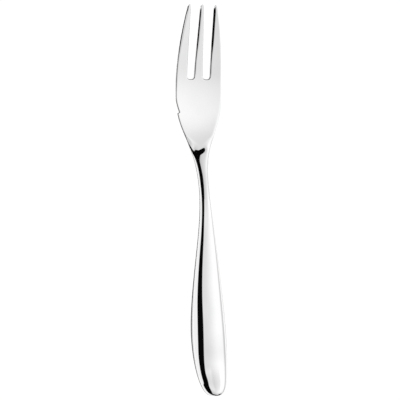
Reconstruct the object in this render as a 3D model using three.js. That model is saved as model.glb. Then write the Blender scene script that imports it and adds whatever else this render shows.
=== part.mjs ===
// Three-tined fish fork with a hollow handle, lying face up. Millimetres.
// X runs across the fork, Y towards the tine tips, Z up out of the front face.
// The forged head runs on as a tang into a handle of two stamped shells, brazed together and cemented.

import * as THREE from 'three';

// Lengths along the fork, in order from the tine tips to the handle's end
const TINE_LENGTH = 36;
const BOWL_LENGTH = 32;
const NECK_LENGTH = 26.3;
const HANDLE_LENGTH = 95.7;

// Head: half widths and half thicknesses, and how far it stands to the left of the handle's axis
const TIP_SPREAD = 8.1;
const HEAD_HALF_WIDTH = 12.8;
const SHOULDER_HALF_WIDTH = 6.4;
const TIP_HALF_THICKNESS = 0.7;
const HEAD_HALF_THICKNESS = 0.8;
const WIDEST_BELOW_ROOT = 7;
const LOWEST_BELOW_ROOT = 14;
const HEAD_SWAY = 0.38;
const SWAY_BEFORE_BOWL_END = 10;
const SWAY_EASE = 18;

// Edges of the head: they stand above the plate's middle by a share of its depth, with a short
// rounding in front of them and a long one behind
const TINE_EDGE_HEIGHT = 0.3;
const EDGE_HEIGHT = 0.55;
const BACK_EDGE_ROUND = 2;
const TINE_EDGE_ROUND = 0.75;
const SLOT_EDGE_ROUND = 0.5;
const EDGE_ROUND = 0.45;
const LOWER_LEFT_ROUND = 0.88;
const LOWER_RIGHT_ROUND = 1.8;
const RIGHT_RIM_EASE = 24;
const LEFT_FULLNESS = 1.5;
const PLATE_EASE = 8;

// Left edges of the three tines, bevelled towards the tip: reach of the bevel, how round it is, and
// the shares of the tine's length where it starts to fade and over which it fades
const BEVEL_STARTS = [5, 5, 3];
const BEVEL_START_SHARE = 0.25;
const BEVEL_ROUNDS = [1.2, 1.1, 1.05];
const BEVEL_FULLNESS = [1.25, 1.25, 1.05];
const BEVEL_FADE_START = 0.45;
const BEVEL_FADE = 0.35;

// Hollow of the head: a gentle dish across it, and a tongue of its floor that ramps up to the neck
const DISH_RISE = 0.45;
const DISH_BELOW_ROOT = 22;
const DISH_EASE = 14;
const TONGUE_HEIGHT = 1.09;
const TONGUE_EASE = 0.27;
const TONGUE_PAST_BOWL = 4.7;
const TONGUE_OFF_CENTRE = 1.56;
const TONGUE_LEFT_TAPER = 0.32;
const TONGUE_RIGHT_TAPER = 0.25;
const RAMP_LENGTH = 2.27;
const RAMP_SPREAD = 0.11;

// Where the plate's rounded edges grow into the full section of the neck
const SHOULDER_BEFORE_BOWL_END = 4.85;
const SHOULDER_LENGTH = 6.4;

// Tines: the middle one tapers, and the outer ones have straight inner edges
const MID_TIP_HALF = 1.05;
const MID_ROOT_HALF = 2.35;
const OUTER_TINE_INNER = 6.45;
const TIP_ROUND = 2.4;
const SLOT_SQUARENESS = 3;
const SLOT_EDGE_REACH = 4;

// Notch in the left edge, a long slope that ends in a short barb
const NOTCH_DEPTH = 1.2;
const NOTCH_SLOPE = 6.5;
const NOTCH_BARB = 0.7;
const NOTCH_BELOW_ROOT = 9.55;
const NOTCH_HOLLOW = 1.4;

// Neck and handle: half widths, and depths in front of and behind the seam line
const NECK_HALF_WIDTH = 2.78;
const NECK_FRONT_DEPTH = 1.65;
const NECK_BACK_DEPTH = 1.7;
const HANDLE_HALF_WIDTH = 9.45;
const HANDLE_FRONT_DEPTH = 5.17;
const HANDLE_BACK_DEPTH = 4.4;
const END_ROUND = 25;
const END_FULLNESS = 2.94;
const END_DEPTH_FULLNESS = 6.5;
const BELLY_FROM_END = 35.6;

// Profile: heights of the middle line of the head and of the handle's seam line
const TIP_RISE = 6.75;
const NECK_RISE = 4.7;
const END_RISE = 10.1;
const REST_FLAT = 0.12;
const REST_STEP = 2.5;

// Hollow handle: wall, brazing, tang and the clearances between the pieces
const WALL = 0.6;
const SEAM_BRAZE = 0.2;
const MOUTH_BRAZE = 0.3;
const JOINT_GAP = 0.04;
const FILL_GAP = 0.08;
const TANG_LENGTH = 38;
const TANG_HALF_WIDTH = 1.3;
const TANG_HALF_DEPTH = 0.6;
const TANG_END_SHARE = 0.7;

// Facets
const TINE_COLUMNS = 8;
const HANDLE_SEGMENTS = 20;
const HANDLE_STATIONS = 10;

// Places along the fork, as distances from the tine tips
const ROOT = TINE_LENGTH;
const BOWL_END = ROOT + BOWL_LENGTH;
const MOUTH = BOWL_END + NECK_LENGTH;
const END = MOUTH + HANDLE_LENGTH;
const SHELL_START = MOUTH + MOUTH_BRAZE + 2 * JOINT_GAP;
const END_START = END - END_ROUND;
const BELLY = END - BELLY_FROM_END;
const TONGUE_END = BOWL_END + TONGUE_PAST_BOWL;
const SHOULDER_START = BOWL_END - SHOULDER_BEFORE_BOWL_END;
const SWAY_END = BOWL_END - SWAY_BEFORE_BOWL_END;

const mix = (a, b, t) => a + (b - a) * t;
const clamp01 = (t) => Math.min(1, Math.max(0, t));
const smooth = (t) => clamp01(t) ** 2 * (3 - 2 * clamp01(t));

// A smooth curve through [place, value] stations: a natural cubic spline
function curveThrough(stations) {
  const last = stations.length - 1;
  const x = stations.map((p) => p[0]);
  const y = stations.map((p) => p[1]);
  const bend = new Array(last + 1).fill(0);
  const carry = new Array(last + 1).fill(0);
  for (let i = 1; i < last; i++) {
    const share = (x[i] - x[i - 1]) / (x[i + 1] - x[i - 1]);
    const pivot = share * carry[i - 1] + 2;
    const kink = (y[i + 1] - y[i]) / (x[i + 1] - x[i]) - (y[i] - y[i - 1]) / (x[i] - x[i - 1]);
    carry[i] = (share - 1) / pivot;
    bend[i] = ((6 * kink) / (x[i + 1] - x[i - 1]) - share * bend[i - 1]) / pivot;
  }
  for (let i = last - 1; i > 0; i--) bend[i] += carry[i] * bend[i + 1];
  return (s) => {
    let i = 1;
    while (i < last && s > x[i]) i++;
    const h = x[i] - x[i - 1];
    const a = (x[i] - s) / h;
    const b = (s - x[i - 1]) / h;
    return a * y[i - 1] + b * y[i] + (((a ** 3 - a) * bend[i - 1] + (b ** 3 - b) * bend[i]) * h * h) / 6;
  };
}

// Half width of the whole outline, before the slots, the notch and the rounded end
const outline = curveThrough([
  [0, TIP_SPREAD],
  [0.27 * ROOT, mix(TIP_SPREAD, HEAD_HALF_WIDTH, 0.43)],
  [0.74 * ROOT, mix(TIP_SPREAD, HEAD_HALF_WIDTH, 0.875)],
  [ROOT + WIDEST_BELOW_ROOT, HEAD_HALF_WIDTH],
  [mix(ROOT, BOWL_END, 0.46), 0.965 * HEAD_HALF_WIDTH],
  [mix(ROOT, BOWL_END, 0.63), mix(HEAD_HALF_WIDTH, SHOULDER_HALF_WIDTH, 0.27)],
  [BOWL_END, SHOULDER_HALF_WIDTH],
  [mix(BOWL_END, MOUTH, 0.23), mix(SHOULDER_HALF_WIDTH, NECK_HALF_WIDTH, 0.56)],
  [mix(BOWL_END, MOUTH, 0.46), mix(SHOULDER_HALF_WIDTH, NECK_HALF_WIDTH, 0.88)],
  [mix(BOWL_END, MOUTH, 0.78), NECK_HALF_WIDTH],
  [mix(MOUTH, END, 0.02), 1.07 * NECK_HALF_WIDTH],
  [mix(MOUTH, END, 0.125), mix(NECK_HALF_WIDTH, HANDLE_HALF_WIDTH, 0.165)],
  [mix(MOUTH, END, 0.32), mix(NECK_HALF_WIDTH, HANDLE_HALF_WIDTH, 0.52)],
  [mix(MOUTH, END, 0.53), mix(NECK_HALF_WIDTH, HANDLE_HALF_WIDTH, 0.86)],
  [END_START, HANDLE_HALF_WIDTH],
  [mix(END_START, END, 0.45), 0.95 * HANDLE_HALF_WIDTH],
  [END, 0.925 * HANDLE_HALF_WIDTH],
]);

// Height of the seam line, which is the plate's middle in the head
const spine = curveThrough([
  [0, TIP_RISE],
  [0.5 * ROOT, mix(HEAD_HALF_THICKNESS, TIP_RISE, 0.53)],
  [ROOT, mix(HEAD_HALF_THICKNESS, TIP_RISE, 0.11)],
  [ROOT + LOWEST_BELOW_ROOT, HEAD_HALF_THICKNESS],
  [mix(ROOT, BOWL_END, 0.82), mix(HEAD_HALF_THICKNESS, NECK_RISE, 0.002)],
  [mix(BOWL_END, MOUTH, 0.46), mix(HEAD_HALF_THICKNESS, NECK_RISE, 0.517)],
  [MOUTH, NECK_RISE],
  [mix(MOUTH, BELLY, 0.51), 1.04 * NECK_RISE],
  [BELLY, HANDLE_BACK_DEPTH],
  [mix(BELLY, END, 0.33), mix(HANDLE_BACK_DEPTH, END_RISE, 0.132)],
  [mix(BELLY, END, 0.66), mix(HANDLE_BACK_DEPTH, END_RISE, 0.434)],
  [END, END_RISE],
]);

// Depth on one side of the seam line, from tine tip to handle end
function depthCurve(neck, handle) {
  return curveThrough([
    [0, TIP_HALF_THICKNESS],
    [0.55 * ROOT, mix(TIP_HALF_THICKNESS, HEAD_HALF_THICKNESS, 0.5)],
    [mix(ROOT, BOWL_END, 0.125), HEAD_HALF_THICKNESS],
    [mix(ROOT, BOWL_END, 0.8), HEAD_HALF_THICKNESS],
    [BOWL_END, mix(HEAD_HALF_THICKNESS, neck, 0.42)],
    [mix(BOWL_END, MOUTH, 0.15), mix(HEAD_HALF_THICKNESS, neck, 0.76)],
    [mix(BOWL_END, MOUTH, 0.3), mix(HEAD_HALF_THICKNESS, neck, 0.92)],
    [mix(BOWL_END, MOUTH, 0.5), mix(HEAD_HALF_THICKNESS, neck, 0.92)],
    [MOUTH, mix(neck, handle, 0.02)],
    [mix(MOUTH, BELLY, 0.26), mix(neck, handle, 0.19)],
    [mix(MOUTH, BELLY, 0.51), mix(neck, handle, 0.42)],
    [mix(MOUTH, BELLY, 0.84), mix(neck, handle, 0.825)],
    [BELLY, handle],
    [mix(BELLY, END, 0.33), mix(neck, handle, 0.944)],
    [mix(BELLY, END, 0.66), mix(neck, handle, 0.642)],
    [END, mix(neck, handle, 0.47)],
  ]);
}
const frontDepth = depthCurve(NECK_FRONT_DEPTH, HANDLE_FRONT_DEPTH);
const backDepth = depthCurve(NECK_BACK_DEPTH, HANDLE_BACK_DEPTH);

// Rise of a rounded edge: 0 at the edge, 1 from one rounding inward
function edgeRise(distance, round, fullness = 2) {
  return (1 - (1 - clamp01(distance / round)) ** fullness) ** (1 / fullness);
}

const sway = (s) => HEAD_SWAY * smooth(s / ROOT) * (1 - smooth((s - SWAY_END) / SWAY_EASE));

// A point of the fork in its frame: the part is centred along Y and stands on Z = 0
function place(x, s, z) {
  return [x - sway(s), END / 2 - s, Math.max(0, z - REST_FLAT)];
}

// Collects triangles, merges equal corners and drops triangles that have closed up
class Skin {
  constructor() {
    this.points = [];
    this.index = [];
    this.seen = new Map();
  }

  corner(p) {
    const key = p.map((v) => Math.round(v * 1e4)).join(' ');
    if (!this.seen.has(key)) {
      this.seen.set(key, this.points.length / 3);
      this.points.push(...p);
    }
    return this.seen.get(key);
  }

  triangle(a, b, c) {
    const [i, j, k] = [this.corner(a), this.corner(b), this.corner(c)];
    if (i !== j && j !== k && k !== i) this.index.push(i, j, k);
  }

  // A strip of quads between two rows of as many points
  strip(rowA, rowB) {
    for (let i = 0; i + 1 < rowA.length; i++) {
      this.triangle(rowA[i], rowA[i + 1], rowB[i + 1]);
      this.triangle(rowA[i], rowB[i + 1], rowB[i]);
    }
  }

  rows(list) {
    for (let i = 0; i + 1 < list.length; i++) this.strip(list[i], list[i + 1]);
  }

  geometry() {
    const shape = new THREE.BufferGeometry();
    shape.setAttribute('position', new THREE.Float32BufferAttribute(this.points, 3));
    shape.setIndex(this.index);
    shape.computeVertexNormals();
    return shape;
  }
}

// Places from one end of a stretch to the other, drawn together at the end named
function spread(from, to, count, drawn) {
  const ease = {
    even: (t) => t,
    start: (t) => 1 - Math.cos((Math.PI / 2) * t),
    end: (t) => Math.sin((Math.PI / 2) * t),
    both: (t) => (1 - Math.cos(Math.PI * t)) / 2,
  }[drawn];
  return Array.from({ length: count + 1 }, (_, i) => mix(from, to, ease(i / count)));
}

// Slots between the tines
const SLOT_MIDDLE = (MID_ROOT_HALF + OUTER_TINE_INNER) / 2;
const SLOT_RADIUS = (OUTER_TINE_INNER - MID_ROOT_HALF) / 2;
const SLOT_TURN = ROOT - SLOT_RADIUS;
const SPLIT_SHARE = SLOT_MIDDLE / outline(ROOT);

const midHalf = (s) => mix(MID_TIP_HALF, MID_ROOT_HALF, clamp01(s / SLOT_TURN));

// How far the squarish slot end reaches to each side of the slot's middle
function slotReach(s) {
  const left = SLOT_RADIUS ** SLOT_SQUARENESS - (s - SLOT_TURN) ** SLOT_SQUARENESS;
  return Math.max(0, left) ** (1 / SLOT_SQUARENESS);
}

// Where a slot begins and ends at a place, out from the middle of the fork
function slotEdges(s) {
  if (s > ROOT) return [SPLIT_SHARE * outline(s), SPLIT_SHARE * outline(s)];
  if (s > SLOT_TURN) return [SLOT_MIDDLE - slotReach(s), SLOT_MIDDLE + slotReach(s)];
  return [midHalf(s), OUTER_TINE_INNER];
}

// Distance from a point of the head to the nearer slot
function slotDistance(x, s) {
  const across = Math.abs(x);
  if (s > SLOT_TURN) {
    const aside = Math.abs(across - SLOT_MIDDLE) ** SLOT_SQUARENESS;
    return (aside + (s - SLOT_TURN) ** SLOT_SQUARENESS) ** (1 / SLOT_SQUARENESS) - SLOT_RADIUS;
  }
  return across < SLOT_MIDDLE ? midHalf(s) - across : across - OUTER_TINE_INNER;
}

// How far the notch cuts into the left edge at a place
const NOTCH_START = ROOT + NOTCH_BELOW_ROOT;
const NOTCH_FLOOR = NOTCH_START + NOTCH_SLOPE;
const NOTCH_END = NOTCH_FLOOR + NOTCH_BARB;
function notchCut(s) {
  if (s <= NOTCH_START || s >= NOTCH_END) return 0;
  if (s < NOTCH_FLOOR) return NOTCH_DEPTH * ((s - NOTCH_START) / NOTCH_SLOPE) ** NOTCH_HOLLOW;
  return NOTCH_DEPTH * ((NOTCH_END - s) / NOTCH_BARB);
}

// Left and right edges of the three tines, or of the plate's three bands below the slots
function bandEdges(s) {
  const [inner, outer] = slotEdges(s);
  const side = outline(s);
  const tip = Math.sqrt(1 - (1 - clamp01(s / TIP_ROUND)) ** 2);
  const bands = [
    [-side + notchCut(s), -outer],
    [-inner, inner],
    [outer, side],
  ];
  return bands.map(([l, r]) => {
    const middle = (l + r) / 2;
    return [mix(middle, l, tip), mix(middle, r, tip)];
  });
}

// 0 along the bevelled part of the tines, 1 from near their roots on
const rooted = (s) => smooth((s / ROOT - BEVEL_FADE_START) / BEVEL_FADE);

// 0 in the plate, 1 from where the neck has its full section
const shoulder = (s) => smooth((s - SHOULDER_START) / SHOULDER_LENGTH);

// Height of the head's edges above its middle
function edgeHeight(s) {
  return mix(TINE_EDGE_HEIGHT, EDGE_HEIGHT, rooted(s)) * (1 - shoulder(s)) * frontDepth(s);
}

// Rounding and fullness of the left and right edges of one band at a place, in front or behind
function edgeShapes(s, band, isBack) {
  const tip = mix(BEVEL_START_SHARE, 1, smooth(s / BEVEL_STARTS[band]));
  const below = smooth((s - ROOT) / PLATE_EASE);
  const lower = smooth((s - NOTCH_START) / (SHOULDER_START - NOTCH_START));
  const bevel = mix(BEVEL_ROUNDS[band], TINE_EDGE_ROUND, rooted(s)) * tip;
  const left = mix(bevel, mix(EDGE_ROUND, LOWER_LEFT_ROUND, lower), below);
  const rim = smooth((s - ROOT) / RIGHT_RIM_EASE);
  const right = mix(TINE_EDGE_ROUND * tip, mix(EDGE_ROUND, LOWER_RIGHT_ROUND, rim), below);
  const grown = (round) => mix(isBack ? BACK_EDGE_ROUND * tip : round, outline(s), shoulder(s));
  const roundAgain = smooth((s - SHOULDER_START) / (2 * SHOULDER_LENGTH));
  const full = mix(mix(BEVEL_FULLNESS[band], LEFT_FULLNESS, rooted(s)), 2, roundAgain);
  return [[grown(left), isBack ? 2 : full], [grown(right), 2]];
}

// Share of the way from the head's edge to its full depth, in front or behind
function headRise(x, s, band, isBack) {
  const edges = bandEdges(s);
  const [left, right] = s < SLOT_TURN ? edges[band] : [edges[0][0], edges[2][1]];
  const [leftShape, rightShape] = edgeShapes(s, band, isBack);
  const sides = edgeRise(x - left, ...leftShape) * edgeRise(right - x, ...rightShape);
  if (s < SLOT_TURN || s > ROOT + SLOT_EDGE_REACH) return sides;
  const turned = smooth((s - SLOT_TURN) / SLOT_RADIUS);
  const round = isBack ? BACK_EDGE_ROUND : mix(TINE_EDGE_ROUND, SLOT_EDGE_ROUND, turned);
  return sides * edgeRise(slotDistance(x, s), round);
}

// How far the dished middle of the plate stands above the spine
function dishRise(x, s) {
  return DISH_RISE * (x / outline(s)) ** 2 * (1 - smooth((s - ROOT - DISH_BELOW_ROOT) / DISH_EASE));
}

// 0 on the bowl's floor, 1 on the neck, with a ramp between that is steepest in the middle of the tongue
function neckShare(x, s) {
  const aside = x + TONGUE_OFF_CENTRE;
  const length = RAMP_LENGTH + RAMP_SPREAD * aside ** 2;
  const end = TONGUE_END - (aside < 0 ? TONGUE_LEFT_TAPER : TONGUE_RIGHT_TAPER) * Math.abs(aside);
  return smooth((s - end) / length + 1);
}

// Height of the front face above the spine, with the bowl's floor run into the neck
function frontRise(x, s, rise) {
  const whole = mix(edgeHeight(s), frontDepth(s), rise);
  const over = clamp01(0.5 + (0.5 * (TONGUE_HEIGHT - whole)) / TONGUE_EASE);
  const floor = mix(TONGUE_HEIGHT, whole, over) - TONGUE_EASE * over * (1 - over);
  return mix(floor, whole, neckShare(x, s));
}

// Front and back rows of one band of the head at a place
function headRows(s, band) {
  const columns = spread(...bandEdges(s)[band], TINE_COLUMNS, 'both');
  const middle = (x) => spine(s) + dishRise(x, s);
  const front = (x) => middle(x) + frontRise(x, s, headRise(x, s, band, false));
  const back = (x) => middle(x) + mix(edgeHeight(s), -backDepth(s), headRise(x, s, band, true));
  return {
    front: columns.map((x) => place(x, s, front(x))),
    back: columns.map((x) => place(x, s, back(x))),
  };
}

// Section of the tang as a closed half, front or back, in the columns of the head
function tangRow(s, side, grow) {
  const share = mix(1, TANG_END_SHARE, clamp01((s - MOUTH) / TANG_LENGTH));
  const half = TANG_HALF_WIDTH * share + grow;
  const depth = TANG_HALF_DEPTH * share + grow;
  return (t) => place(half * t, s, spine(s) + side * depth * Math.sqrt(Math.max(0, 1 - t ** 4)));
}

function forkHead() {
  const skin = new Skin();
  const tips = spread(0, TIP_ROUND, 5, 'start');
  const tines = spread(TIP_ROUND, SLOT_TURN, 8, 'even');
  const slotEnds = spread(SLOT_TURN, ROOT, 5, 'end');
  const bowl = [
    ...spread(ROOT, NOTCH_START, 5, 'start'),
    ...spread(NOTCH_START, NOTCH_FLOOR, 4, 'even'),
    ...spread(NOTCH_FLOOR, NOTCH_END, 2, 'even'),
    ...spread(NOTCH_END, BOWL_END, 6, 'even'),
  ];
  const neck = [...spread(BOWL_END, TONGUE_END, 8, 'even'), ...spread(TONGUE_END, MOUTH, 7, 'even')];
  const stations = [...new Set([...tips, ...tines, ...slotEnds, ...bowl, ...neck])];
  for (let band = 0; band < 3; band++) {
    const rows = stations.map((s) => headRows(s, band));
    skin.rows(rows.map((r) => r.front).reverse());
    skin.rows(rows.map((r) => r.back));
  }

  // The shoulder steps down from the neck's section to the tang, in the same columns
  const neckRow = (face) => [0, 1, 2].flatMap((band) => headRows(MOUTH, band)[face]);
  const tangPlaces = spread(MOUTH, MOUTH + TANG_LENGTH, 5, 'even');
  const ends = {};
  for (const side of [1, -1]) {
    const columns = neckRow(side > 0 ? 'front' : 'back');
    const shares = columns.map((p) => p[0] / outline(MOUTH));
    const rows = [columns, ...tangPlaces.map((s) => shares.map(tangRow(s, side, 0)))];
    skin.rows(side > 0 ? rows.reverse() : rows);
    ends[side] = side > 0 ? rows[0] : rows[rows.length - 1];
  }
  skin.strip(ends[-1], ends[1]);
  return skin.geometry();
}

// Half width and depth of the handle, drawn in from its outside by an inset
function handleSize(s, inset) {
  const length = END_ROUND - inset;
  const at = clamp01((s - END_START) / length);
  const left = (fullness) => (at > 1 - 1e-9 ? 0 : (1 - at ** fullness) ** (1 / fullness));
  return {
    half: (outline(s) - inset) * left(END_FULLNESS),
    front: (frontDepth(s) - inset) * left(END_DEPTH_FULLNESS),
    back: (backDepth(s) - inset) * left(END_DEPTH_FULLNESS),
  };
}

// Places along the handle: close steps at the belly, and the rounded end shortened by the inset
function handlePlaces(from, inset) {
  const body = spread(from, BELLY - REST_STEP, HANDLE_STATIONS, 'even');
  const rise = spread(BELLY + REST_STEP, END_START, 2, 'even');
  const end = spread(END_START, END - inset, HANDLE_STATIONS, 'end');
  return [...body, BELLY, ...rise, ...end.slice(1)];
}

// Arc of one half of the handle's section, from the right rim over to the left one
function handleArc(s, side, inset, rim) {
  const { half, front, back } = handleSize(s, inset);
  const depth = Math.max(0, (side > 0 ? front : back) - rim);
  return spread(0, Math.PI, HANDLE_SEGMENTS, 'even').map((turn) => {
    const lift = half < 1e-6 ? 0 : depth * Math.sin(turn);
    return place(half * Math.cos(turn), s, spine(s) + side * (rim + lift));
  });
}

// One stamped half of the handle; its rim stands off the seam line by half the brazing and a gap
function handleShell(side) {
  const skin = new Skin();
  const rim = SEAM_BRAZE / 2 + JOINT_GAP;
  const outer = handlePlaces(SHELL_START, 0).map((s) => handleArc(s, side, 0, rim));
  const inner = handlePlaces(SHELL_START, WALL).map((s) => handleArc(s, side, WALL, rim));
  const turned = (list) => (side > 0 ? list : [...list].reverse());
  skin.rows(turned(outer));
  skin.rows([...turned(inner)].reverse());
  skin.rows(turned([inner[0], outer[0]]));
  const rights = (list) => list.map((arc) => arc[0]);
  const lefts = (list) => list.map((arc) => arc[HANDLE_SEGMENTS]);
  skin.rows(turned([rights(outer), rights(inner)]));
  skin.rows(turned([lefts(inner), lefts(outer)]));
  return skin.geometry();
}

// Brazing in the seam: a flat band along both rims that turns round the handle's end
function seamBraze() {
  const skin = new Skin();
  const edge = (inset, sideways, height) => {
    const point = (s) => place(sideways * handleSize(s, inset).half, s, spine(s) + height);
    return handlePlaces(SHELL_START, inset).map(point);
  };
  const round = (inset, height) => [...edge(inset, 1, height), ...edge(inset, -1, height).reverse().slice(1)];
  const [top, bottom] = [SEAM_BRAZE / 2, -SEAM_BRAZE / 2];
  const loop = [round(0, bottom), round(0, top), round(WALL, top), round(WALL, bottom), round(0, bottom)];
  skin.rows([...loop].reverse());
  const firsts = loop.map((line) => line[0]);
  const lasts = loop.map((line) => line[line.length - 1]);
  skin.strip([firsts[0], firsts[3]], [firsts[1], firsts[2]]);
  skin.strip([lasts[0], lasts[1]], [lasts[3], lasts[2]]);
  return skin.geometry();
}

// Ring of brazing between the neck's shoulder and the handle's mouth
function mouthBraze() {
  const skin = new Skin();
  const ring = (s, inset) => {
    const front = handleArc(s, 1, inset, 0);
    const back = handleArc(s, -1, inset, 0).reverse();
    return [...front, ...back.slice(1)];
  };
  const near = MOUTH + JOINT_GAP;
  const far = near + MOUTH_BRAZE;
  skin.rows([ring(near, 0), ring(far, 0), ring(far, WALL), ring(near, WALL), ring(near, 0)]);
  return skin.geometry();
}

// Cement core: it fills the shells and grips the tang
function handleFill() {
  const skin = new Skin();
  const inset = WALL + FILL_GAP;
  const start = SHELL_START;
  const ring = (s) => {
    const front = handleArc(s, 1, inset, 0);
    const back = handleArc(s, -1, inset, 0).reverse();
    return [...front, ...back.slice(1)];
  };
  const outer = handlePlaces(start, inset).map(ring);
  skin.rows(outer);

  // The tang's hole has the same number of points round it as the core
  const turns = spread(0, Math.PI, HANDLE_SEGMENTS, 'even').map((turn) => Math.cos(turn));
  const hole = (s) => {
    const front = turns.map(tangRow(s, 1, FILL_GAP));
    const back = turns.map(tangRow(s, -1, FILL_GAP)).reverse();
    return [...front, ...back.slice(1)];
  };
  const holes = spread(start, MOUTH + TANG_LENGTH + FILL_GAP, 5, 'even').map(hole);
  skin.rows([...holes].reverse());
  skin.strip(holes[0], outer[0]);
  const floor = holes[holes.length - 1];
  const half = HANDLE_SEGMENTS;
  skin.strip(floor.slice(half).reverse(), floor.slice(0, half + 1));
  return skin.geometry();
}

const steel = () => new THREE.MeshStandardMaterial({ color: 0xd9d9d6, roughness: 0.12, metalness: 1 });
const braze = () => new THREE.MeshStandardMaterial({ color: 0xcfccc2, roughness: 0.25, metalness: 1 });
const cement = () => new THREE.MeshStandardMaterial({ color: 0xb5b0a6, roughness: 0.9, metalness: 0 });

function piece(name, geometry, material) {
  const mesh = new THREE.Mesh(geometry, material);
  mesh.name = name;
  return mesh;
}

const fork = new THREE.Group();
fork.add(
  piece('fork_head', forkHead(), steel()),
  piece('handle_front_shell', handleShell(1), steel()),
  piece('handle_back_shell', handleShell(-1), steel()),
  piece('seam_braze', seamBraze(), braze()),
  piece('mouth_braze', mouthBraze(), braze()),
  piece('handle_fill', handleFill(), cement()),
);

export default fork;
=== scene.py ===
"""Looks of a three-tined fish fork with a hollow handle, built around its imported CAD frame.

The pieces follow the CAD solids' own curves at a finer step, so that the mirror polish is smooth.
Sizes are in millimetres and are turned into metres where a mesh is made.
"""

import math

import bmesh
import bpy
import numpy as np
from mathutils import Matrix, Vector


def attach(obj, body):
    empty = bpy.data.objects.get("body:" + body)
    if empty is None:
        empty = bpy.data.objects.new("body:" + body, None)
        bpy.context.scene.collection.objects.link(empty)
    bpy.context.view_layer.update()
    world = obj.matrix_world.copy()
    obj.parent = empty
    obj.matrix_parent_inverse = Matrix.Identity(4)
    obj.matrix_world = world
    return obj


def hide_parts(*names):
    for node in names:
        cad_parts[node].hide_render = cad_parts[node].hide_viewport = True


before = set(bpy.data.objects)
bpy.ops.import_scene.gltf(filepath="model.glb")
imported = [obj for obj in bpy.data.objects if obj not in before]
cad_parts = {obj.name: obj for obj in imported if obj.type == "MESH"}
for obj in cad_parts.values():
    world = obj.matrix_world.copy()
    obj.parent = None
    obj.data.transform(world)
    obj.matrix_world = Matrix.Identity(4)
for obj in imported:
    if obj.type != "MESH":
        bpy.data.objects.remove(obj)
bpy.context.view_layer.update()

scene = bpy.context.scene
MM = 0.001

# Lengths along the fork, in order from the tine tips to the handle's end
TINE_LENGTH = 36
BOWL_LENGTH = 32
NECK_LENGTH = 26.3
HANDLE_LENGTH = 95.7

# Head: half widths and half thicknesses, and how far it stands to the left of the handle's axis
TIP_SPREAD = 8.1
HEAD_HALF_WIDTH = 12.8
SHOULDER_HALF_WIDTH = 6.4
TIP_HALF_THICKNESS = 0.7
HEAD_HALF_THICKNESS = 0.8
WIDEST_BELOW_ROOT = 7
LOWEST_BELOW_ROOT = 14
HEAD_SWAY = 0.38
SWAY_BEFORE_BOWL_END = 10
SWAY_EASE = 18

# Edges of the head: they stand above the plate's middle by a share of its depth, with a short
# rounding in front of them and a long one behind
TINE_EDGE_HEIGHT = 0.3
EDGE_HEIGHT = 0.55
BACK_EDGE_ROUND = 2.0
TINE_EDGE_ROUND = 0.75
SLOT_EDGE_ROUND = 0.5
EDGE_ROUND = 0.45
LOWER_LEFT_ROUND = 0.88
LOWER_RIGHT_ROUND = 1.8
RIGHT_RIM_EASE = 24
LEFT_FULLNESS = 1.5
PLATE_EASE = 8

# Left edges of the three tines, bevelled towards the tip: reach of the bevel, how round it is, and
# the shares of the tine's length where it starts to fade and over which it fades
BEVEL_STARTS = (5, 5, 3)
BEVEL_START_SHARE = 0.25
BEVEL_ROUNDS = (1.2, 1.1, 1.05)
BEVEL_FULLNESS = (1.25, 1.25, 1.05)
BEVEL_FADE_START = 0.45
BEVEL_FADE = 0.35

# Hollow of the head: a gentle dish across it, and a tongue of its floor that ramps up to the neck
DISH_RISE = 0.45
DISH_BELOW_ROOT = 22
DISH_EASE = 14
TONGUE_HEIGHT = 1.09
TONGUE_EASE = 0.27
TONGUE_PAST_BOWL = 4.7
TONGUE_OFF_CENTRE = 1.56
TONGUE_LEFT_TAPER = 0.32
TONGUE_RIGHT_TAPER = 0.25
RAMP_LENGTH = 2.27
RAMP_SPREAD = 0.11

# Where the plate's rounded edges grow into the full section of the neck
SHOULDER_BEFORE_BOWL_END = 4.85
SHOULDER_LENGTH = 6.4

# Tines: the middle one tapers, and the outer ones have straight inner edges
MID_TIP_HALF = 1.05
MID_ROOT_HALF = 2.35
OUTER_TINE_INNER = 6.45
TIP_ROUND = 2.4
SLOT_SQUARENESS = 3
SLOT_EDGE_REACH = 4

# Notch in the left edge, a long slope that ends in a short barb
NOTCH_DEPTH = 1.2
NOTCH_SLOPE = 6.5
NOTCH_BARB = 0.7
NOTCH_BELOW_ROOT = 9.55
NOTCH_HOLLOW = 1.4

# Neck and handle: half widths, and depths in front of and behind the seam line
NECK_HALF_WIDTH = 2.78
NECK_FRONT_DEPTH = 1.65
NECK_BACK_DEPTH = 1.7
HANDLE_HALF_WIDTH = 9.45
HANDLE_FRONT_DEPTH = 5.17
HANDLE_BACK_DEPTH = 4.4
END_ROUND = 25
END_FULLNESS = 2.94
END_DEPTH_FULLNESS = 6.5
BELLY_FROM_END = 35.6

# Profile: heights of the middle line of the head and of the handle's seam line
TIP_RISE = 6.75
NECK_RISE = 4.7
END_RISE = 10.1
REST_FLAT = 0.12

# Hollow handle: wall, brazing and tang
WALL = 0.6
SEAM_BRAZE = 0.2
MOUTH_BRAZE = 0.3
TANG_LENGTH = 38
TANG_HALF_WIDTH = 1.3
TANG_HALF_DEPTH = 0.6
TANG_END_SHARE = 0.7

# Places along the fork, as distances from the tine tips
ROOT = TINE_LENGTH
BOWL_END = ROOT + BOWL_LENGTH
MOUTH = BOWL_END + NECK_LENGTH
END = MOUTH + HANDLE_LENGTH
SHELL_START = MOUTH + MOUTH_BRAZE
END_START = END - END_ROUND
BELLY = END - BELLY_FROM_END
TONGUE_END = BOWL_END + TONGUE_PAST_BOWL
SHOULDER_START = BOWL_END - SHOULDER_BEFORE_BOWL_END
SWAY_END = BOWL_END - SWAY_BEFORE_BOWL_END

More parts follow.
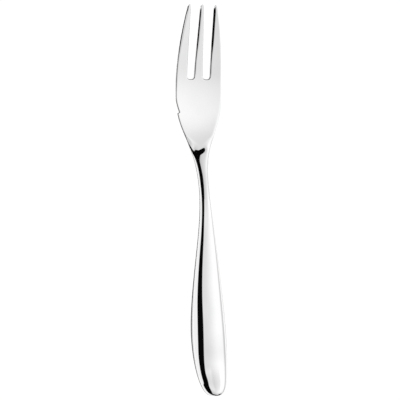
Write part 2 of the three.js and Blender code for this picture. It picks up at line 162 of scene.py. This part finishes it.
# Mesh: columns across a tine, rows along the fork, and steps round and along the places that curve most
COLUMNS = 30
ROW_STEP = 0.45
ARC_STEPS = 72
TIP_STEPS = 14
SLOT_STEPS = 18
SLOT_FOOT = 2
SLOT_FOOT_STEPS = 14
NOTCH_STEPS = 20
BARB_STEPS = 8
TANG_STEPS = 12
END_STEPS = 70
SHARP_ANGLE = math.radians(50)
MERGE_DISTANCE = 2e-7
CLOSED_UP = 1e-8


def mix(a, b, t):
    return a + (b - a) * t


def smooth(t):
    t = np.clip(t, 0, 1)
    return t * t * (3 - 2 * t)


def curve_through(stations):
    """A smooth curve through (place, value) stations: a natural cubic spline."""
    x, y = np.array(stations, float).T
    h = np.diff(x)
    n = len(x)
    system = np.eye(n)
    kink = np.zeros(n)
    for i in range(1, n - 1):
        system[i, i - 1:i + 2] = h[i - 1], 2 * (h[i - 1] + h[i]), h[i]
        kink[i] = 6 * ((y[i + 1] - y[i]) / h[i] - (y[i] - y[i - 1]) / h[i - 1])
    bend = np.linalg.solve(system, kink)

    def curve(s):
        i = np.clip(np.searchsorted(x, s) - 1, 0, n - 2)
        b = (s - x[i]) / h[i]
        a = 1 - b
        swell = (a**3 - a) * bend[i] + (b**3 - b) * bend[i + 1]
        return a * y[i] + b * y[i + 1] + swell * h[i] ** 2 / 6

    return curve


# Half width of the whole outline, before the slots, the notch and the rounded end
outline = curve_through([
    (0, TIP_SPREAD),
    (0.27 * ROOT, mix(TIP_SPREAD, HEAD_HALF_WIDTH, 0.43)),
    (0.74 * ROOT, mix(TIP_SPREAD, HEAD_HALF_WIDTH, 0.875)),
    (ROOT + WIDEST_BELOW_ROOT, HEAD_HALF_WIDTH),
    (mix(ROOT, BOWL_END, 0.46), 0.965 * HEAD_HALF_WIDTH),
    (mix(ROOT, BOWL_END, 0.63), mix(HEAD_HALF_WIDTH, SHOULDER_HALF_WIDTH, 0.27)),
    (BOWL_END, SHOULDER_HALF_WIDTH),
    (mix(BOWL_END, MOUTH, 0.23), mix(SHOULDER_HALF_WIDTH, NECK_HALF_WIDTH, 0.56)),
    (mix(BOWL_END, MOUTH, 0.46), mix(SHOULDER_HALF_WIDTH, NECK_HALF_WIDTH, 0.88)),
    (mix(BOWL_END, MOUTH, 0.78), NECK_HALF_WIDTH),
    (mix(MOUTH, END, 0.02), 1.07 * NECK_HALF_WIDTH),
    (mix(MOUTH, END, 0.125), mix(NECK_HALF_WIDTH, HANDLE_HALF_WIDTH, 0.165)),
    (mix(MOUTH, END, 0.32), mix(NECK_HALF_WIDTH, HANDLE_HALF_WIDTH, 0.52)),
    (mix(MOUTH, END, 0.53), mix(NECK_HALF_WIDTH, HANDLE_HALF_WIDTH, 0.86)),
    (END_START, HANDLE_HALF_WIDTH),
    (mix(END_START, END, 0.45), 0.95 * HANDLE_HALF_WIDTH),
    (END, 0.925 * HANDLE_HALF_WIDTH),
])

# Height of the seam line, which is the plate's middle in the head
spine = curve_through([
    (0, TIP_RISE),
    (0.5 * ROOT, mix(HEAD_HALF_THICKNESS, TIP_RISE, 0.53)),
    (ROOT, mix(HEAD_HALF_THICKNESS, TIP_RISE, 0.11)),
    (ROOT + LOWEST_BELOW_ROOT, HEAD_HALF_THICKNESS),
    (mix(ROOT, BOWL_END, 0.82), mix(HEAD_HALF_THICKNESS, NECK_RISE, 0.002)),
    (mix(BOWL_END, MOUTH, 0.46), mix(HEAD_HALF_THICKNESS, NECK_RISE, 0.517)),
    (MOUTH, NECK_RISE),
    (mix(MOUTH, BELLY, 0.51), 1.04 * NECK_RISE),
    (BELLY, HANDLE_BACK_DEPTH),
    (mix(BELLY, END, 0.33), mix(HANDLE_BACK_DEPTH, END_RISE, 0.132)),
    (mix(BELLY, END, 0.66), mix(HANDLE_BACK_DEPTH, END_RISE, 0.434)),
    (END, END_RISE),
])


def depth_curve(neck, handle):
    """Depth on one side of the seam line, from tine tip to handle end."""
    return curve_through([
        (0, TIP_HALF_THICKNESS),
        (0.55 * ROOT, mix(TIP_HALF_THICKNESS, HEAD_HALF_THICKNESS, 0.5)),
        (mix(ROOT, BOWL_END, 0.125), HEAD_HALF_THICKNESS),
        (mix(ROOT, BOWL_END, 0.8), HEAD_HALF_THICKNESS),
        (BOWL_END, mix(HEAD_HALF_THICKNESS, neck, 0.42)),
        (mix(BOWL_END, MOUTH, 0.15), mix(HEAD_HALF_THICKNESS, neck, 0.76)),
        (mix(BOWL_END, MOUTH, 0.3), mix(HEAD_HALF_THICKNESS, neck, 0.92)),
        (mix(BOWL_END, MOUTH, 0.5), mix(HEAD_HALF_THICKNESS, neck, 0.92)),
        (MOUTH, mix(neck, handle, 0.02)),
        (mix(MOUTH, BELLY, 0.26), mix(neck, handle, 0.19)),
        (mix(MOUTH, BELLY, 0.51), mix(neck, handle, 0.42)),
        (mix(MOUTH, BELLY, 0.84), mix(neck, handle, 0.825)),
        (BELLY, handle),
        (mix(BELLY, END, 0.33), mix(neck, handle, 0.944)),
        (mix(BELLY, END, 0.66), mix(neck, handle, 0.642)),
        (END, mix(neck, handle, 0.47)),
    ])


front_depth = depth_curve(NECK_FRONT_DEPTH, HANDLE_FRONT_DEPTH)
back_depth = depth_curve(NECK_BACK_DEPTH, HANDLE_BACK_DEPTH)


def edge_rise(distance, rounding, fullness=2):
    """Rise of a rounded edge: 0 at the edge, 1 from one rounding inward."""
    return (1 - (1 - np.clip(distance / rounding, 0, 1)) ** fullness) ** (1 / fullness)


def sway(s):
    """How far the head stands to the left of the handle's axis."""
    return HEAD_SWAY * smooth(s / ROOT) * (1 - smooth((s - SWAY_END) / SWAY_EASE))


def place(x, s, z):
    """Points of the fork in its frame, in metres: centred along Y and standing on Z = 0."""
    x, s, z = np.broadcast_arrays(x - sway(s), s, z)
    return np.stack([x, END / 2 - s, np.maximum(0, z - REST_FLAT)], -1) * MM


def spread(start, stop, count, drawn="even"):
    """Places from one end of a stretch to the other, drawn together at the end named."""
    t = np.linspace(0, 1, count + 1)
    ease = {
        "even": t,
        "start": 1 - np.cos(math.pi / 2 * t),
        "end": np.sin(math.pi / 2 * t),
        "both": (1 - np.cos(math.pi * t)) / 2,
    }[drawn]
    return mix(start, stop, ease)


# Slots between the tines
SLOT_MIDDLE = (MID_ROOT_HALF + OUTER_TINE_INNER) / 2
SLOT_RADIUS = (OUTER_TINE_INNER - MID_ROOT_HALF) / 2
SLOT_TURN = ROOT - SLOT_RADIUS
SPLIT_SHARE = SLOT_MIDDLE / outline(ROOT)


def mid_half(s):
    """Half width of the middle tine at a place."""
    return mix(MID_TIP_HALF, MID_ROOT_HALF, np.clip(s / SLOT_TURN, 0, 1))


def slot_edges(s):
    """Where a slot begins and ends at a place, out from the middle of the fork."""
    if s > ROOT:
        return SPLIT_SHARE * outline(s), SPLIT_SHARE * outline(s)
    if s > SLOT_TURN:
        left = max(0, SLOT_RADIUS**SLOT_SQUARENESS - (s - SLOT_TURN) ** SLOT_SQUARENESS)
        reach = left ** (1 / SLOT_SQUARENESS)
        return SLOT_MIDDLE - reach, SLOT_MIDDLE + reach
    return mid_half(s), OUTER_TINE_INNER


def slot_distance(x, s):
    """Distance from a point of the head to the nearer slot."""
    across = np.abs(x)
    if s > SLOT_TURN:
        aside = np.abs(across - SLOT_MIDDLE) ** SLOT_SQUARENESS
        return (aside + (s - SLOT_TURN) ** SLOT_SQUARENESS) ** (1 / SLOT_SQUARENESS) - SLOT_RADIUS
    return np.where(across < SLOT_MIDDLE, mid_half(s) - across, across - OUTER_TINE_INNER)


# Notch in the left edge
NOTCH_START = ROOT + NOTCH_BELOW_ROOT
NOTCH_FLOOR = NOTCH_START + NOTCH_SLOPE
NOTCH_END = NOTCH_FLOOR + NOTCH_BARB


def notch_cut(s):
    """How far the notch cuts into the left edge at a place."""
    if s <= NOTCH_START or s >= NOTCH_END:
        return 0
    if s < NOTCH_FLOOR:
        return NOTCH_DEPTH * ((s - NOTCH_START) / NOTCH_SLOPE) ** NOTCH_HOLLOW
    return NOTCH_DEPTH * (NOTCH_END - s) / NOTCH_BARB


def band_edges(s):
    """Left and right edges of the three tines, or of the plate's three bands below the slots."""
    inner, outer = slot_edges(s)
    side = outline(s)
    tip = math.sqrt(1 - (1 - min(1, s / TIP_ROUND)) ** 2)
    bands = [(-side + notch_cut(s), -outer), (-inner, inner), (outer, side)]
    return [(mix((l + r) / 2, l, tip), mix((l + r) / 2, r, tip)) for l, r in bands]


def rooted(s):
    """0 along the bevelled part of the tines, 1 from near their roots on."""
    return smooth((s / ROOT - BEVEL_FADE_START) / BEVEL_FADE)


def shoulder(s):
    """0 in the plate, 1 from where the neck has its full section."""
    return smooth((s - SHOULDER_START) / SHOULDER_LENGTH)


def edge_height(s):
    """Height of the head's edges above its middle."""
    return mix(TINE_EDGE_HEIGHT, EDGE_HEIGHT, rooted(s)) * (1 - shoulder(s)) * front_depth(s)


def edge_shapes(s, band, back):
    """Rounding and fullness of the left and right edges of one band at a place."""
    tip = mix(BEVEL_START_SHARE, 1, smooth(s / BEVEL_STARTS[band]))
    below = smooth((s - ROOT) / PLATE_EASE)
    lower = smooth((s - NOTCH_START) / (SHOULDER_START - NOTCH_START))
    left = mix(BEVEL_ROUNDS[band], TINE_EDGE_ROUND, rooted(s)) * tip
    left = mix(left, mix(EDGE_ROUND, LOWER_LEFT_ROUND, lower), below)
    rim = smooth((s - ROOT) / RIGHT_RIM_EASE)
    right = mix(TINE_EDGE_ROUND * tip, mix(EDGE_ROUND, LOWER_RIGHT_ROUND, rim), below)
    if back:
        left = right = BACK_EDGE_ROUND * tip
    neck = shoulder(s)
    round_again = smooth((s - SHOULDER_START) / (2 * SHOULDER_LENGTH))
    full = 2 if back else mix(mix(BEVEL_FULLNESS[band], LEFT_FULLNESS, rooted(s)), 2, round_again)
    return (mix(left, outline(s), neck), full), (mix(right, outline(s), neck), 2)


def head_rise(x, s, band, back):
    """Share of the way from the head's edge to its full depth, in front or behind."""
    edges = band_edges(s)
    left, right = edges[band] if s < SLOT_TURN else (edges[0][0], edges[2][1])
    left_shape, right_shape = edge_shapes(s, band, back)
    sides = edge_rise(x - left, *left_shape) * edge_rise(right - x, *right_shape)
    if s < SLOT_TURN or s > ROOT + SLOT_EDGE_REACH:
        return sides
    turned = smooth((s - SLOT_TURN) / SLOT_RADIUS)
    slot_round = BACK_EDGE_ROUND if back else mix(TINE_EDGE_ROUND, SLOT_EDGE_ROUND, turned)
    return sides * edge_rise(slot_distance(x, s), slot_round)


def dish_rise(x, s):
    """How far the dished middle of the plate stands above the spine."""
    fade = 1 - smooth((s - ROOT - DISH_BELOW_ROOT) / DISH_EASE)
    return DISH_RISE * (x / outline(s)) ** 2 * fade


def neck_share(x, s):
    """0 on the bowl's floor, 1 on the neck, with a ramp between that is steepest in the tongue's middle."""
    aside = x + TONGUE_OFF_CENTRE
    length = RAMP_LENGTH + RAMP_SPREAD * aside**2
    taper = np.where(aside < 0, TONGUE_LEFT_TAPER, TONGUE_RIGHT_TAPER)
    end = TONGUE_END - taper * np.abs(aside)
    return smooth((s - end) / length + 1)


def front_rise(x, s, rise):
    """Height of the front face above the spine, with the bowl's floor run into the neck."""
    whole = mix(edge_height(s), front_depth(s), rise)
    over = np.clip(0.5 + 0.5 * (TONGUE_HEIGHT - whole) / TONGUE_EASE, 0, 1)
    floor = mix(TONGUE_HEIGHT, whole, over) - TONGUE_EASE * over * (1 - over)
    return mix(floor, whole, neck_share(x, s))


def head_rows(s, band):
    """Front and back rows of one band of the head at a place."""
    x = spread(*band_edges(s)[band], COLUMNS, "both")
    middle = spine(s) + dish_rise(x, s)
    front = middle + front_rise(x, s, head_rise(x, s, band, back=False))
    back = middle + mix(edge_height(s), -back_depth(s), head_rise(x, s, band, back=True))
    return place(x, s, front), place(x, s, back)


def steps(start, stop, drawn="even"):
    """Places along a stretch, about one row step apart."""
    return spread(start, stop, max(2, round((stop - start) / ROW_STEP)), drawn)


class Skin:
    """Collects rows of points and joins them with quads into one mesh."""

    def __init__(self):
        self.points = []
        self.faces = []

    def rows(self, rows):
        """A sheet of quads through rows that all have the same number of points."""
        grid = np.asarray(rows)
        start = len(self.points)
        across = grid.shape[1]
        self.points.extend(grid.reshape(-1, 3).tolist())
        for i in range(grid.shape[0] - 1):
            for j in range(across - 1):
                a = start + i * across + j
                self.faces.append((a, a + 1, a + across + 1, a + across))

    def piece(self, name):
        """The mesh object: equal points merged, closed-up faces dropped, smooth except at sharp edges."""
        mesh = bpy.data.meshes.new(name)
        mesh.from_pydata(self.points, [], self.faces)
        piece = bpy.data.objects.new(name, mesh)
        scene.collection.objects.link(piece)
        bm = bmesh.new()
        bm.from_mesh(mesh)
        bmesh.ops.remove_doubles(bm, verts=bm.verts, dist=MERGE_DISTANCE)
        bmesh.ops.dissolve_degenerate(bm, edges=bm.edges, dist=CLOSED_UP)
        bm.to_mesh(mesh)
        bm.free()
        mesh.shade_smooth()
        mesh.set_sharp_from_angle(angle=SHARP_ANGLE)
        return piece


def tang_rows(share, s):
    """Front and back rows of the tang at a place, in columns at shares of its half width."""
    taper = mix(1, TANG_END_SHARE, (s - MOUTH) / TANG_LENGTH)
    depth = TANG_HALF_DEPTH * taper * np.sqrt(np.maximum(0, 1 - share**4))
    x = TANG_HALF_WIDTH * taper * share
    return place(x, s, spine(s) + depth), place(x, s, spine(s) - depth)


def make_head():
    """Forged head with its neck, which steps down at the mouth of the handle to the tang."""
    skin = Skin()
    stations = np.unique(np.round(np.concatenate([
        steps(0, TIP_ROUND, "start"),
        spread(0, TIP_ROUND, TIP_STEPS, "start"),
        steps(TIP_ROUND, SLOT_TURN),
        spread(SLOT_TURN, ROOT, SLOT_STEPS, "end"),
        spread(ROOT, ROOT + SLOT_FOOT, SLOT_FOOT_STEPS, "start"),
        steps(ROOT + SLOT_FOOT, NOTCH_START),
        spread(NOTCH_START, NOTCH_FLOOR, NOTCH_STEPS),
        spread(NOTCH_FLOOR, NOTCH_END, BARB_STEPS),
        steps(NOTCH_END, MOUTH),
    ]), 6))
    for band in range(3):
        rows = [head_rows(s, band) for s in stations]
        share = spread(*band_edges(MOUTH)[band], COLUMNS, "both") / outline(MOUTH)
        tang_places = spread(MOUTH, MOUTH + TANG_LENGTH, TANG_STEPS)
        rows += [tang_rows(share, s) for s in tang_places]
        skin.rows([front for front, back in rows][::-1])
        skin.rows([back for front, back in rows])
        front, back = rows[-1]
        skin.rows([back, front])
    return skin.piece("head_and_neck")


def handle_size(s, inset):
    """Half width and depths of the handle, drawn in from its outside by an inset."""
    at = np.clip((s - END_START) / (END_ROUND - inset), 0, 1)

    def left(fullness):
        return (1 - at**fullness) ** (1 / fullness)

    half = (outline(s) - inset) * left(END_FULLNESS)
    front = (front_depth(s) - inset) * left(END_DEPTH_FULLNESS)
    back = (back_depth(s) - inset) * left(END_DEPTH_FULLNESS)
    return half, front, back


def handle_places(inset):
    """Places along the handle, with its rounded end shortened by the inset."""
    body = steps(SHELL_START, END_START)
    end = spread(END_START, END - inset, END_STEPS, "end")
    return np.concatenate([body, end[1:]])


def handle_arc(s, side, inset, rim):
    """Arc of one half of the handle's section, from the right rim over to the left one."""
    half, front, back = handle_size(s, inset)
    depth = max(0, (front if side > 0 else back) - rim)
    turn = np.linspace(0, math.pi, ARC_STEPS + 1)
    lift = depth * np.sin(turn) if half > 1e-6 else 0 * turn
    return place(half * np.cos(turn), s, spine(s) + side * (rim + lift))


def make_shell(side, name):
    """One stamped half of the handle, with its wall."""
    skin = Skin()
    rim = SEAM_BRAZE / 2
    outer = [handle_arc(s, side, 0, rim) for s in handle_places(0)]
    inner = [handle_arc(s, side, WALL, rim) for s in handle_places(WALL)]

    def turned(rows):
        return rows if side > 0 else rows[::-1]

    skin.rows(turned(outer))
    skin.rows(turned(inner)[::-1])
    skin.rows(turned([inner[0], outer[0]]))
    skin.rows(turned([[arc[0] for arc in outer], [arc[0] for arc in inner]]))
    skin.rows(turned([[arc[-1] for arc in inner], [arc[-1] for arc in outer]]))
    return skin.piece(name)


def make_seam():
    """Brazing in the seam: a flat band along both rims that turns round the handle's end."""
    skin = Skin()

    def loop(inset, height):
        s = handle_places(inset)
        half = handle_size(s, inset)[0]
        right = place(half, s, spine(s) + height)
        left = place(-half, s, spine(s) + height)
        return np.concatenate([right, left[::-1][1:]])

    top, bottom = SEAM_BRAZE / 2, -SEAM_BRAZE / 2
    loops = [loop(0, bottom), loop(0, top), loop(WALL, top), loop(WALL, bottom), loop(0, bottom)]
    skin.rows(loops[::-1])
    for at, order in ((0, (0, 3, 1, 2)), (-1, (0, 1, 3, 2))):
        a, b, c, d = (loops[i][at] for i in order)
        skin.rows([[a, b], [c, d]])
    return skin.piece("seam_line")


def make_mouth_ring():
    """Ring of brazing between the neck's shoulder and the handle's mouth."""
    skin = Skin()

    def ring(s, inset):
        front = handle_arc(s, 1, inset, 0)
        back = handle_arc(s, -1, inset, 0)[::-1]
        return np.concatenate([front, back[1:]])

    near, far = MOUTH, SHELL_START
    skin.rows([ring(near, 0), ring(far, 0), ring(far, WALL), ring(near, WALL), ring(near, 0)])
    return skin.piece("mouth_ring")


class Graph:
    """Short calls for adding linked shader nodes to a tree."""

    def __init__(self, tree):
        self.nodes, self.links = tree.nodes, tree.links
        self.nodes.clear()

    def add(self, kind, inputs=(), **settings):
        """A node with its settings, and its inputs given by name or number as a value or a socket."""
        node = self.nodes.new(kind)
        for key, value in settings.items():
            setattr(node, key, value)
        for key, value in dict(inputs).items():
            if isinstance(value, bpy.types.NodeSocket):
                self.links.new(value, node.inputs[key])
            else:
                node.inputs[key].default_value = value
        return node

    def math(self, operation, *values):
        return self.add("ShaderNodeMath", enumerate(values), operation=operation).outputs[0]

    def product(self, first, *others):
        for other in others:
            first = self.math("MULTIPLY", first, other)
        return first

    def fade(self, value, start, stop, low=0.0, high=1.0):
        """A smooth step of a value: low before start, high after stop."""
        inputs = {"Value": value, "From Min": start, "From Max": stop, "To Min": low, "To Max": high}
        return self.add("ShaderNodeMapRange", inputs, interpolation_type="SMOOTHSTEP").outputs[0]

    def noise(self, coords, scale, detail):
        inputs = {"Vector": coords, "Scale": scale, "Detail": detail}
        return self.add("ShaderNodeTexNoise", inputs).outputs["Fac"]

    def blend(self, share, first, second):
        """A colour between two colours, by a share."""
        inputs = {0: share, 6: (*first, 1), 7: (*second, 1)}
        return self.add("ShaderNodeMix", inputs, data_type="RGBA").outputs[2]

    def bump(self, height, strength, distance):
        inputs = {"Height": height, "Strength": strength, "Distance": distance}
        return self.add("ShaderNodeBump", inputs).outputs[0]

    def finish(self, inputs):
        """The principled shader with its inputs, linked to the material's output."""
        shader = self.add("ShaderNodeBsdfPrincipled", inputs)
        self.add("ShaderNodeOutputMaterial", {0: shader.outputs[0]})


def new_material(name):
    """A material with nothing in its tree yet but object coordinates, and its graph."""
    material = bpy.data.materials.new(name)
    material.use_nodes = True
    g = Graph(material.node_tree)
    return material, g, g.add("ShaderNodeTexCoord").outputs["Object"]


# Finishes: two colours each, noise scales per metre, roughness fades, and depths of bump in metres
BUFFING_SCALE = (9000, 500, 9000)
HAZE_SCALE = 160.0
STEEL_COLOURS = (0.93, 0.932, 0.935), (0.965, 0.963, 0.96)
HAZE_ROUGHNESS = (0.35, 0.7, 0.02, 0.045)
MARKS_ROUGHNESS = (0.5, 0.8, 0.0, 0.02)
MARKS_BUMP = (0.02, 0.02 * MM)
BRAZE_SCALE = 900.0
BRAZE_COLOURS = (0.90, 0.895, 0.88), (0.95, 0.945, 0.93)
BRAZE_ROUGHNESS = (0.3, 0.7, 0.05, 0.12)
SAND_SCALE = 1800.0
CEMENT_COLOURS = (0.36, 0.34, 0.31), (0.56, 0.54, 0.50)
CEMENT_ROUGHNESS = (0.3, 0.7, 0.85, 0.95)
SAND_BUMP = (0.4, 0.1 * MM)


def polished_steel():
    """Mirror-polished stainless steel: faint buffing marks along the fork and a little haze."""
    material, g, coords = new_material("polished_steel")
    along = g.add("ShaderNodeMapping", {"Vector": coords, "Scale": BUFFING_SCALE}).outputs[0]
    marks = g.noise(along, scale=1.0, detail=3.0)
    haze = g.noise(coords, HAZE_SCALE, detail=4.0)
    g.finish({
        "Base Color": g.blend(haze, *STEEL_COLOURS),
        "Metallic": 1.0,
        "Roughness": g.math("ADD", g.fade(haze, *HAZE_ROUGHNESS), g.fade(marks, *MARKS_ROUGHNESS)),
        "Normal": g.bump(marks, *MARKS_BUMP),
    })
    return material


def silver_braze():
    """Silver brazing, polished flush: a shade warmer and duller than the steel."""
    material, g, coords = new_material("silver_braze")
    grain = g.noise(coords, BRAZE_SCALE, detail=3.0)
    g.finish({
        "Base Color": g.blend(grain, *BRAZE_COLOURS),
        "Metallic": 1.0,
        "Roughness": g.fade(grain, *BRAZE_ROUGHNESS),
    })
    return material


def cement():
    """Grey cement inside the handle, with a sandy grain."""
    material, g, coords = new_material("handle_cement")
    sand = g.noise(coords, SAND_SCALE, detail=5.0)
    g.finish({
        "Base Color": g.blend(sand, *CEMENT_COLOURS),
        "Roughness": g.fade(sand, *CEMENT_ROUGHNESS),
        "Normal": g.bump(sand, *SAND_BUMP),
    })
    return material


# Camera: tilted towards the fork's left side and turned a little, as the photograph was taken
FRAME_PIXELS = 400
AIM = Vector((0, 0, 4 * MM))
AIM_PIXEL_X = 204.4
PIXEL_SIZE = 0.4873 * MM
CAMERA_DISTANCE = 800 * MM
CAMERA_TILT = math.radians(30)
CAMERA_ROLL = math.radians(1.5)
SENSOR = 36


def make_camera():
    """The camera: a pixel has the named size at the aim, which lies at the named pixel across."""
    across = Vector((math.cos(CAMERA_TILT), 0, math.sin(CAMERA_TILT)))
    back = Vector((-math.sin(CAMERA_TILT), 0, math.cos(CAMERA_TILT)))
    along = Vector((0, 1, 0))
    right = math.cos(CAMERA_ROLL) * across - math.sin(CAMERA_ROLL) * along
    up = math.sin(CAMERA_ROLL) * across + math.cos(CAMERA_ROLL) * along
    data = bpy.data.cameras.new("camera")
    data.sensor_width = SENSOR
    data.lens = SENSOR * CAMERA_DISTANCE / (FRAME_PIXELS * PIXEL_SIZE)
    camera = bpy.data.objects.new("camera", data)
    place_off = (AIM_PIXEL_X - FRAME_PIXELS / 2) * PIXEL_SIZE
    spot = AIM + back * CAMERA_DISTANCE - right * place_off
    camera.matrix_world = Matrix.Translation(spot) @ Matrix((right, up, back)).transposed().to_4x4()
    scene.collection.objects.link(camera)
    scene.camera = camera


def leans(start, stop, low, high):
    """A fade over leans: angles from straight up towards the camera's side of the fork, in degrees."""
    return math.radians(start), math.radians(stop), low, high


# Studio, gap between the light box and the white side: its two edges, and how they widen ahead of
# the fork and turn behind it
BOX_EDGE = math.radians(10)
WALL_EDGE = math.radians(46)
WALL_LEVEL = 0.93
EDGE_SOFT = math.radians(1.5)
EDGE_CURVE = math.radians(650)
CURVE_START = 0.1
BOX_TURN_BEHIND = (-0.25, -0.05, math.radians(2), 0.0)
WALL_TURN_BEHIND = (-0.28, 0.0, math.radians(22), 0.0)

# Studio, light box: fades over the lean of a direction or over its part along the fork
BOX_LEVEL = leans(-50, 0, 1.07, 0.77)
BOX_FAR_SIDE = leans(-80, -68, 0.62, 1.0)
BOX_END_BEHIND = (-0.59, -0.48, 0.0, 1.0)
BOX_END_AHEAD = (0.37, 0.45, 1.0, 0.0)
DIM_BEHIND = (-0.14, 0.03, 0.82, 1.0)
DIM_AHEAD = (0.0, 0.42, 0.0, 0.37)
DIM_FAR_SIDE = leans(-70, -30, 1.6, 1.0)
LIFT_FAR_SIDE = leans(-50, -40, 1.0, 0.0)
LIFT_NEAR_SIDE = leans(-20, -10, 0.0, 1.0)
LIFT_START = (0.04, 0.14, 0.0, 1.0)
LIFT_STOP = (0.2, 0.28, 0.2, 0.0)

# Studio, dark flag in the box behind the handle, and dim light at both ends near the horizon
FLAG_SIDE_BEHIND = (-0.3, -0.2, 1.0, 0.0)
FLAG_SIDE = leans(-40, -30, 1.0, 0.0)
FLAG_END_BEHIND = (-0.5, -0.4, 1.0, 0.0)
FLAG_FAR_EDGE = leans(-72, -64, 0.0, 1.0)
ENDS_REACH = (0.5, 0.6, 0.0, 1.0)
ENDS_HEIGHT = (0.3, 0.42, 1.0, 0.0)
ENDS_LEVEL = (-0.5, 0.5, 0.45, 0.8)
DARK_LEVEL = 0.002


def make_world():
    """Studio light: a large box overhead and to the right with a dark flag, a white side to the left,
    a dark gap between them, and dim light at both ends. The camera itself sees plain white."""
    world = bpy.data.worlds.new("studio")
    scene.world = world
    world.use_nodes = True
    g = Graph(world.node_tree)
    direction = g.add("ShaderNodeTexCoord").outputs["Generated"]
    x, y, z = g.add("ShaderNodeSeparateXYZ", {0: direction}).outputs
    lean = g.math("ARCTAN2", g.math("MULTIPLY", x, -1.0), z)

    forward = g.math("MAXIMUM", g.math("SUBTRACT", y, CURVE_START), 0.0)
    curve = g.product(forward, forward, EDGE_CURVE)
    box_lean = g.math("SUBTRACT", g.math("ADD", lean, curve), g.fade(y, *BOX_TURN_BEHIND))
    wall_lean = g.math("SUBTRACT", g.math("SUBTRACT", lean, curve), g.fade(y, *WALL_TURN_BEHIND))
    wall = g.fade(wall_lean, WALL_EDGE - EDGE_SOFT, WALL_EDGE + EDGE_SOFT, 0.0, WALL_LEVEL)

    flag_side = g.product(g.fade(y, *FLAG_SIDE_BEHIND), g.fade(lean, *FLAG_SIDE))
    flag_whole = g.math("MAXIMUM", flag_side, g.fade(y, *FLAG_END_BEHIND))
    flag = g.product(flag_whole, g.fade(lean, *FLAG_FAR_EDGE))
    dim = g.product(g.fade(y, *DIM_AHEAD), g.fade(lean, *DIM_FAR_SIDE))
    aside = g.math("MAXIMUM", g.fade(lean, *LIFT_FAR_SIDE), g.fade(lean, *LIFT_NEAR_SIDE))
    lift = g.product(aside, g.fade(y, *LIFT_START), g.fade(y, *LIFT_STOP))
    box = g.product(
        g.fade(box_lean, BOX_EDGE - EDGE_SOFT, BOX_EDGE + EDGE_SOFT, 1.0, 0.0),
        g.fade(lean, *BOX_LEVEL),
        g.fade(lean, *BOX_FAR_SIDE),
        g.fade(y, *BOX_END_BEHIND),
        g.fade(y, *DIM_BEHIND),
        g.math("SUBTRACT", 1.0, dim),
        g.math("SUBTRACT", 1.0, flag),
        g.fade(y, *BOX_END_AHEAD),
        g.math("ADD", 1.0, lift),
    )
    ends = g.product(
        g.fade(g.math("ABSOLUTE", y), *ENDS_REACH),
        g.fade(z, *ENDS_HEIGHT),
        g.fade(y, *ENDS_LEVEL),
    )
    level = g.math("ADD", g.math("MAXIMUM", g.math("ADD", box, wall), ends), DARK_LEVEL)
    camera_ray = g.add("ShaderNodeLightPath").outputs["Is Camera Ray"]
    shown = g.add("ShaderNodeMix", {0: camera_ray, 2: level, 3: 1.0}, data_type="FLOAT").outputs[0]
    background = g.add("ShaderNodeBackground", {"Color": (1, 1, 1, 1), "Strength": shown})
    g.add("ShaderNodeOutputWorld", {0: background.outputs[0]})


# Table: its glow, its two greys, and how far from the fork the contact shadow painted into its mirror image
# reaches
FLOOR_SIZE = 3.0
FLOOR_GLOW = 0.99
FLOOR_GRAIN_SCALE = 400.0
FLOOR_GREYS = (0.19, 0.19, 0.19), (0.22, 0.22, 0.22)
CONTACT_SHADOW = 60 * MM
CONTACT_SAMPLES = 8
CONTACT_FADE = (0.7, 1.0)


def make_floor():
    """White table under the fork: it glows white to the camera, and in the fork's mirror polish it
    glows away from the fork and is dark close under it: a contact shadow painted into its glow,
    which ambient occlusion dims there."""
    mesh = bpy.data.meshes.new("floor")
    r = FLOOR_SIZE / 2
    mesh.from_pydata([(-r, -r, 0), (r, -r, 0), (r, r, 0), (-r, r, 0)], [], [(0, 1, 2, 3)])
    floor = bpy.data.objects.new("floor", mesh)
    scene.collection.objects.link(floor)
    material, g, coords = new_material("white_table")
    grain = g.noise(coords, FLOOR_GRAIN_SCALE, detail=2.0)
    paper = g.add("ShaderNodeBsdfDiffuse", {"Color": g.blend(grain, *FLOOR_GREYS)})
    rays = g.add("ShaderNodeLightPath").outputs
    # Painted contact shadow: ambient occlusion dims the glow that the fork's mirror polish sees close under
    # the fork
    contact_inputs = {"Distance": CONTACT_SHADOW}
    contact = g.add("ShaderNodeAmbientOcclusion", contact_inputs, samples=CONTACT_SAMPLES).outputs["AO"]
    mirrored = g.math("MAXIMUM", rays["Is Glossy Ray"], rays["Is Transmission Ray"])
    unshadowed_glow_share = g.fade(contact, *CONTACT_FADE)
    seen = g.math("MAXIMUM", rays["Is Camera Ray"], g.math("MULTIPLY", mirrored, unshadowed_glow_share))
    strength = g.math("MULTIPLY", seen, FLOOR_GLOW)
    glow = g.add("ShaderNodeEmission", {"Color": (1, 1, 1, 1), "Strength": strength})
    both = g.add("ShaderNodeAddShader", {0: paper.outputs[0], 1: glow.outputs[0]})
    g.add("ShaderNodeOutputMaterial", {0: both.outputs[0]})
    mesh.materials.append(material)


def dress(piece, material, node):
    """Gives a piece its finish, and lets it stand for a CAD node on the fork's one body."""
    piece.data.materials.append(material)
    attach(piece, "root")
    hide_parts(node)


scene.view_settings.view_transform = "Standard"
make_camera()
make_world()
make_floor()

steel = polished_steel()
braze = silver_braze()
dress(make_head(), steel, "fork_head")
dress(make_shell(1, "front_shell"), steel, "handle_front_shell")
dress(make_shell(-1, "back_shell"), steel, "handle_back_shell")
dress(make_seam(), braze, "seam_braze")
dress(make_mouth_ring(), braze, "mouth_braze")

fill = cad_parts["handle_fill"]
fill.data.materials.clear()
fill.data.materials.append(cement())
